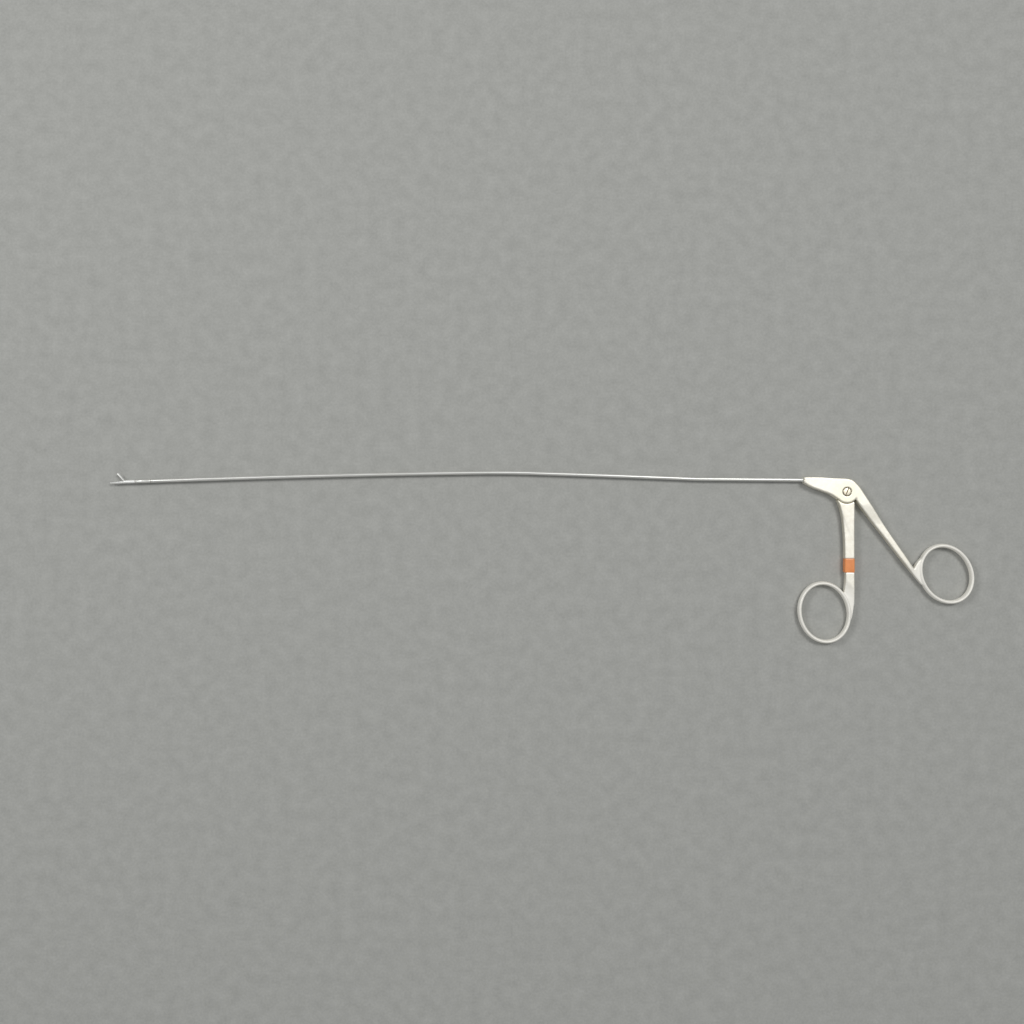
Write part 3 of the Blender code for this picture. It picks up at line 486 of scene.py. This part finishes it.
DRAWN.links.new(stain.outputs["Fac"], result.inputs["Stain"])


def drawn_steel(name, bright, dull, roughness):
    """Steel with the fine lines of drawing and faint stains."""
    look, tree, shader = surface(name, roughness, Metallic=0.85)
    marks = wired(tree, "ShaderNodeGroup", node_tree=DRAWN)
    tone = worked(tree, "MULTIPLY", marks.outputs["Lines"], marks.outputs["Stain"])
    tree.links.new(blended(tree, stretched(tree, tone, 0.0, 1.0, 0.1, 0.4), dull, bright),
                   shader.inputs["Base Color"])
    tree.links.new(stretched(tree, marks.outputs["Lines"], roughness - 0.06, roughness + 0.08,
                             0.3, 0.7), shader.inputs["Roughness"])
    embossed(tree, shader, marks.outputs["Lines"], 0.12, 0.01 * MM)
    return look


TUBE_STEEL = drawn_steel("drawn bright steel", (0.90, 0.90, 0.86), (0.82, 0.82, 0.77), 0.38)
NOSE_REACH = 21.1 * MM
NOSE_SLOPE = math.radians(0.5)
ROD_HEIGHT = 5.65 * MM
SHAFT_LENGTH = 333.5 * MM  # from the nose to the jaws' pivot
# Each bend's start from the nose, its length and its turn in degrees
BENDS = ((49 * MM, 6 * MM, 1.74), (60 * MM, 60 * MM, -0.35),
         (128 * MM, 34 * MM, -2.73), (166 * MM, 120 * MM, -1.05))


def shaft(distance):
    """The shaft's axis at a distance from the nose: its place and its way to the jaws."""
    heading = NOSE_SLOPE
    place = Vector((-NOSE_REACH, ROD_HEIGHT + NOSE_REACH * math.tan(heading), SHAFT_LEVEL))
    at = min(distance, 0.0)
    place += Vector((-math.cos(heading), math.sin(heading), 0)) * at
    for start, length, turn in (*BENDS, (math.inf, 1.0, 0.0)):
        place += Vector((-math.cos(heading), math.sin(heading), 0)) * max(
            min(distance, start) - max(at, 0.0), 0.0)
        if distance <= start:
            break
        share = min((distance - start) / length, 1.0)
        turned_by = math.radians(turn) * share
        middle = heading + turned_by / 2
        place += Vector((-math.cos(middle), math.sin(middle), 0)) * length * share
        heading += turned_by
        at = start + length * share
    return place, Vector((-math.cos(heading), math.sin(heading), 0))


def on_shaft(profile):
    """Rings on the shaft's axis, from (radius, distance from the nose) pairs."""
    return [(*shaft(distance), radius) for radius, distance in profile]


TUBE_RADIUS = 0.835 * MM
TUBE_BORE = 0.585 * MM
TUBE_SEAT = 9.0 * MM  # depth in the nose
TUBE_CHAMFER = 0.12 * MM
TUBE_RINGS = 160  # enough for smooth bends
HOUSING_REACH = 6.0 * MM  # from the jaws' pivot back to the sleeve
SLEEVE_LENGTH = 7.6 * MM
SLEEVE_FRONT = SHAFT_LENGTH - HOUSING_REACH
SLEEVE_REAR = SLEEVE_FRONT - SLEEVE_LENGTH
SPIGOT = 2.4 * MM  # length of the turned-down ends inside the sleeve
SPIGOT_RADIUS = 0.72 * MM
run = SLEEVE_REAR - TUBE_CHAMFER + TUBE_SEAT
stations = [run * i / TUBE_RINGS - TUBE_SEAT for i in range(TUBE_RINGS + 1)]
tube_rings = [(TUBE_RADIUS, at) for at in stations]
tube_rings += [(TUBE_RADIUS - TUBE_CHAMFER / 2, SLEEVE_REAR - 0.02 * MM),
               (SPIGOT_RADIUS, SLEEVE_REAR), (SPIGOT_RADIUS, SLEEVE_REAR + SPIGOT),
               (TUBE_BORE, SLEEVE_REAR + SPIGOT)]
tube_rings += [(TUBE_BORE, at) for at in reversed(stations[::4])]
tube = turned("drawn_tube", on_shaft(tube_rings), sides=32, closed=True)
fitted(tube, TUBE_STEEL, "handle", "shaft_tube")


# Nose collar
# A short collar, turned from bright bar, is soldered round the tube where it enters the
# nose. It hides the joint, and its front edge is rounded so that nothing catches on it.
COLLAR_RADIUS = 1.05 * MM
COLLAR_BACK = -2.0 * MM  # from the nose
COLLAR_FRONT = 0.75 * MM
SOLDER_GAP = 0.03 * MM
bore = TUBE_RADIUS + SOLDER_GAP
collar = turned("nose_collar", on_shaft([
    (bore, COLLAR_FRONT), (COLLAR_RADIUS - 0.16 * MM, COLLAR_FRONT + 0.03 * MM),
    (COLLAR_RADIUS - 0.06 * MM, COLLAR_FRONT - 0.09 * MM),
    (COLLAR_RADIUS, COLLAR_FRONT - 0.3 * MM), (COLLAR_RADIUS, COLLAR_BACK + 0.1 * MM),
    (COLLAR_RADIUS - 0.08 * MM, COLLAR_BACK), (bore, COLLAR_BACK)]), closed=True)
fitted(collar, TUBE_STEEL, "handle", "nose_ferrule")


# Coupling sleeve
# A plain turned sleeve joins the tube to the jaws' housing. A thin line of dark solder
# fills the groove at either end.
SLEEVE_SINK = 0.08 * MM  # depth of the chamfer at its ends
SLEEVE_CHAMFER = 0.16 * MM  # and how far it runs along the sleeve
bore = SPIGOT_RADIUS + SOLDER_GAP
rear, front = SLEEVE_REAR + SOLDER_GAP, SLEEVE_FRONT - SOLDER_GAP
sleeve = turned("joint_sleeve", on_shaft([
    (bore, rear), (TUBE_RADIUS - SLEEVE_SINK, rear), (TUBE_RADIUS, SLEEVE_REAR + SLEEVE_CHAMFER),
    (TUBE_RADIUS, SLEEVE_FRONT - SLEEVE_CHAMFER), (TUBE_RADIUS - SLEEVE_SINK, front),
    (bore, front), (bore, SLEEVE_FRONT - SPIGOT), (TUBE_BORE, SLEEVE_FRONT - SPIGOT),
    (TUBE_BORE, rear + SPIGOT), (bore, rear + SPIGOT)]), closed=True)
fitted(sleeve, TUBE_STEEL, "handle", "coupling_sleeve")
SOLDER_SINK = 0.045 * MM  # below the tube's surface at its edges
SOLDER, tree, shader = surface("dark solder", 0.5, Metallic=1.0)
grain = wired(tree, "ShaderNodeGroup", {"Grain": 9000.0, "Mottle": 2500.0}, node_tree=BLASTED)
tree.links.new(blended(tree, grain.outputs["Mottle"], (0.16, 0.14, 0.11), (0.36, 0.32, 0.26)),
               shader.inputs["Base Color"])
for name, at in (("rear_solder", SLEEVE_REAR), ("front_solder", SLEEVE_FRONT)):
    solder = turned(name, on_shaft([
        (SPIGOT_RADIUS, at - 0.12 * MM), (TUBE_RADIUS - SOLDER_SINK, at - 0.1 * MM),
        (TUBE_RADIUS - 0.03 * MM, at + 0.01 * MM), (TUBE_RADIUS - SOLDER_SINK, at + 0.12 * MM),
        (SPIGOT_RADIUS, at + 0.14 * MM)]), closed=True)
    solder.data.materials.append(SOLDER)
    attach(solder, "handle")


# Jaws
# The fixed lower jaw and its round housing are one milled piece, and the upper jaw is hinged
# in its slot. Both are polished, with broken edges and a row of cross teeth along the bite.
HOUSING_GRAIN = 0.045 * MM  # fineness of the softened meshes
JAW_GRAIN = 0.04 * MM
JAW_ROUNDS = 3
JAW_OPENING = math.radians(54)  # as photographed
LOWER_BITE = 5.8 * MM  # from the pivot to the last crest
UPPER_BITE = 4.75 * MM
BITE_START = 1.2 * MM  # and to the first one
BITE_ROOT = 0.28 * MM  # bite line above the shaft's axis there
BITE_TIP = 0.05 * MM  # and below it at the tips
PIVOT_DROP = 0.45 * MM  # from the shaft's axis down to the pivot
TOOTH_PITCH = 0.5 * MM
TOOTH_DEPTH = 0.16 * MM
TOOTH_WIDTHS = (1.34 * MM, 1.24 * MM)  # at the root of the jaw and at its tip
CREST_DEPTH = 0.15 * MM  # middle of a ridge, from the bite line
JAW_STEEL = blasted_steel("polished jaw steel", (0.97, 0.97, 0.94), (0.88, 0.88, 0.84), 0.42,
                          metallic=0.3, grit=15000.0, relief=0.08)
housing = softened("jaw_housing", "distal_housing", HOUSING_GRAIN, JAW_ROUNDS)
fitted(housing, JAW_STEEL, "handle", "distal_housing")
upper_jaw = softened("upper_jaw", "moving_jaw", JAW_GRAIN, JAW_ROUNDS)
fitted(upper_jaw, JAW_STEEL, "jaw", "moving_jaw")


def tooth_row():
    """A tree of nodes for a row of cross teeth, with its sizes as inputs."""
    tree = bpy.data.node_groups.new("tooth row", "GeometryNodeTree")
    tree.interface.new_socket("Geometry", in_out="OUTPUT", socket_type="NodeSocketGeometry")
    for label in ("Pitch", "Depth", "Root Width", "Tip Width"):
        tree.interface.new_socket(label, in_out="INPUT", socket_type="NodeSocketFloat")
    tree.interface.new_socket("Count", in_out="INPUT", socket_type="NodeSocketInt")
    tree.interface.new_socket("Finish", in_out="INPUT", socket_type="NodeSocketMaterial")
    given = tree.nodes.new("NodeGroupInput").outputs
    step = wired(tree, "ShaderNodeCombineXYZ", {"X": given["Pitch"]})
    points = wired(tree, "GeometryNodeMeshLine", {"Count": given["Count"],
                                                  "Offset": step.outputs["Vector"]})
    bar = wired(tree, "GeometryNodeMeshCube", {"Size": (1, 1, 1)})
    tilted = wired(tree, "GeometryNodeTransform", {
        "Geometry": bar.outputs["Mesh"], "Rotation": (0, 0, math.radians(45))})
    size = wired(tree, "ShaderNodeCombineXYZ", {
        "X": worked(tree, "MULTIPLY", given["Pitch"], 0.5), "Y": given["Depth"], "Z": 1.0})
    tooth = wired(tree, "GeometryNodeTransform", {"Geometry": tilted.outputs["Geometry"],
                                                  "Scale": size.outputs["Vector"]})
    width = stretched(
        tree, wired(tree, "GeometryNodeInputIndex").outputs["Index"], given["Root Width"],
        given["Tip Width"], end=worked(tree, "SUBTRACT", given["Count"], 1.0))
    wide = wired(tree, "ShaderNodeCombineXYZ", {"X": 1.0, "Y": 1.0, "Z": width})
    row = wired(tree, "GeometryNodeInstanceOnPoints", {
        "Points": points.outputs["Mesh"], "Instance": tooth.outputs["Geometry"],
        "Scale": wide.outputs["Vector"]})
    real = wired(tree, "GeometryNodeRealizeInstances", {"Geometry": row.outputs["Instances"]})
    coated = wired(tree, "GeometryNodeSetMaterial", {
        "Geometry": real.outputs["Geometry"], "Material": given["Finish"]})
    tree.links.new(coated.outputs["Geometry"],
                   tree.nodes.new("NodeGroupOutput").inputs["Geometry"])
    return tree


TOOTH_ROW = tooth_row()
pivot = Vector(next(joint["pos_m"] for joint in frame["joints"] if joint["name"] == "jaw_pivot"))
way = shaft(SHAFT_LENGTH)[1]
lie = math.atan2(-way.y, -way.x)
for name, body, opening, reach, aside in (
        ("lower_teeth", "handle", 0.0, LOWER_BITE, -CREST_DEPTH),
        ("upper_teeth", "jaw", -JAW_OPENING, UPPER_BITE, CREST_DEPTH)):
    count = round((reach - BITE_START) / TOOTH_PITCH)
    row = bpy.data.objects.new(name, bpy.data.meshes.new(name))
    scene.collection.objects.link(row)
    teeth = row.modifiers.new("teeth", "NODES")
    teeth.node_group = TOOTH_ROW
    run = Vector((-(reach - BITE_START), -(BITE_ROOT + BITE_TIP), 0))
    values = {"Pitch": run.length / count, "Depth": TOOTH_DEPTH, "Root Width": TOOTH_WIDTHS[0],
              "Tip Width": TOOTH_WIDTHS[1], "Count": count + 1, "Finish": JAW_STEEL}
    for socket in TOOTH_ROW.interface.items_tree:
        if socket.in_out == "INPUT":
            teeth[socket.identifier] = values[socket.name]
    row.data = bpy.data.meshes.new_from_object(
        row.evaluated_get(bpy.context.evaluated_depsgraph_get()))
    row.modifiers.clear()
    start = Vector((-BITE_START, PIVOT_DROP + BITE_ROOT + aside, 0))
    row.data.transform(Matrix.Translation(pivot)
                       @ Matrix.Rotation(lie + opening, 4, "Z")
                       @ Matrix.Translation(start)
                       @ Matrix.Rotation(math.atan2(run.y, run.x), 4, "Z"))
    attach(row, body)


# Pins of the jaws
# Two tiny steel pins are riveted flush: the jaws' pivot through the housing's cheeks, and the
# link that the rod's blade pushes.
RIVET_FACE = 0.7  # share of the radius that stays flat
RIVET_CROWN = 0.01 * MM
RIVET_EDGE = 0.06 * MM
for name, node, body in (("pivot_rivet", "jaw_pivot_pin", "handle"),
                         ("link_rivet", "jaw_link_pin", "jaw")):
    low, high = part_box(node)
    middle, radius = (low + high) / 2, (high.x - low.x) / 2
    rivet = turned(name, upright([
        (0, high.z), (RIVET_FACE * radius, high.z - RIVET_CROWN), (radius, high.z - RIVET_EDGE),
        (radius, low.z + RIVET_EDGE), (RIVET_FACE * radius, low.z + RIVET_CROWN), (0, low.z)],
        Vector((middle.x, middle.y, 0))), sides=24)
    fitted(rivet, JAW_STEEL, body, node)


# Rod and its ends
# A drawn wire runs through the tube. A barrel in the lever's fork pulls it, a stiffening
# sleeve keeps it from bowing there, and a flat blade at its other end works the upper jaw.
ROD_STEEL = drawn_steel("drawn rod steel", (0.84, 0.84, 0.80), (0.68, 0.68, 0.63), 0.3)
for node, look in (("drive_rod", ROD_STEEL), ("rod_stiffener", ROD_STEEL),
                   ("drive_blade", ROD_STEEL), ("rod_trunnion", SCREW_STEEL)):
    finish = frame["nodes"][node].data.materials
    finish.clear()
    finish.append(look)
